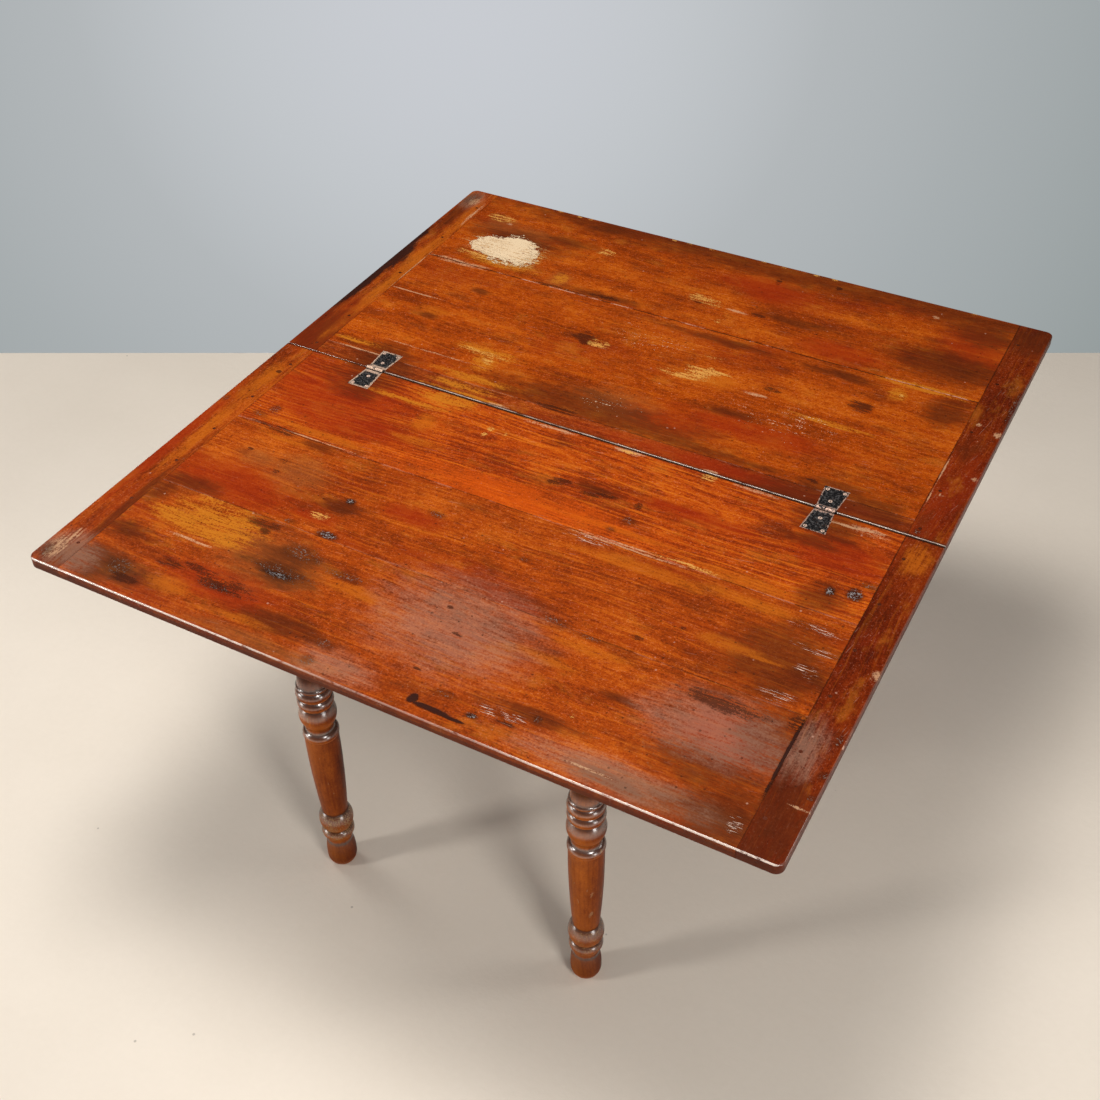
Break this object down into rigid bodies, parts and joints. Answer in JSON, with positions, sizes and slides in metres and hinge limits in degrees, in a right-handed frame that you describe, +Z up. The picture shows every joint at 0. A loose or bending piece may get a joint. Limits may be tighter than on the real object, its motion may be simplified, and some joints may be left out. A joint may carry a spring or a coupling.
{
  "type": "swivel-top table",
  "caption": "Wooden table on turned legs whose top folds in half on butterfly hinges and swivels a quarter turn on its frame to store closed.",
  "frame": {"origin": "on the floor, under the middle of the open top, where the seam crosses the table's centre line", "axes": "+X along the seam between the leaves, +Y from the fixed leaf to the fold leaf, +Z up"},
  "size_m": [1.29, 1.4, 0.7849],
  "materials": {
    "leaf_wood": "varnished board with long grain, worn and stained",
    "cleat_wood": "varnished end cleat, grain across the table",
    "leg_wood": "turned leg, glossy varnish",
    "apron_wood": "varnished apron board",
    "inner_wood": "bare secondary wood",
    "hinge_iron": "blackened iron, bright at worn edges",
    "screw_iron": "worn screw heads and nails",
    "pivot_iron": "forged iron with a little rust"
  },
  "bodies": {
    "frame": {"leg_front_left": "leg_wood", "leg_front_right": "leg_wood", "leg_back_left": "leg_wood", "leg_back_right": "leg_wood", "apron_front": "apron_wood", "apron_back": "apron_wood", "apron_left": "apron_wood", "apron_right": "apron_wood", "joint_pegs": "apron_wood", "pivot_rail": "inner_wood", "ledger_left": "inner_wood", "ledger_right": "inner_wood", "ledger_nails": "screw_iron", "well_floor_1": "inner_wood", "well_floor_2": "inner_wood", "well_floor_3": "inner_wood", "well_floor_4": "inner_wood", "well_floor_5": "inner_wood"},
    "fixed_leaf": {"fixed_board_seam": "leaf_wood", "fixed_board_middle": "leaf_wood", "fixed_board_outer": "leaf_wood", "fixed_cleat_left": "cleat_wood", "fixed_cleat_right": "cleat_wood", "fixed_cleat_nails": "screw_iron", "hinge_fixed_plate_left": "hinge_iron", "hinge_fixed_plate_right": "hinge_iron", "hinge_pin_left": "hinge_iron", "hinge_pin_right": "hinge_iron", "hinge_fixed_screws": "screw_iron", "pivot_plate": "pivot_iron", "pivot_bolt": "pivot_iron", "pivot_washer": "pivot_iron", "pivot_nut": "pivot_iron", "pivot_plate_screws": "screw_iron"},
    "fold_leaf": {"fold_board_strip": "leaf_wood", "fold_board_middle": "leaf_wood", "fold_board_outer": "leaf_wood", "fold_cleat_left": "cleat_wood", "fold_cleat_right": "cleat_wood", "fold_cleat_nails": "screw_iron", "hinge_fold_plate_left": "hinge_iron", "hinge_fold_plate_right": "hinge_iron", "hinge_fold_screws": "screw_iron"}
  },
  "joints": [
    {"name": "top_swivel", "type": "hinge", "parent": "frame", "child": "fixed_leaf", "pos_m": [-0.175, -0.175, 0.76], "axis": [0, 0, 1], "range_deg": [0, 90]},
    {"name": "leaf_fold", "type": "hinge", "parent": "fixed_leaf", "child": "fold_leaf", "pos_m": [0, 0, 0.7804], "axis": [1, 0, 0], "range_deg": [0, 180]}
  ]
}
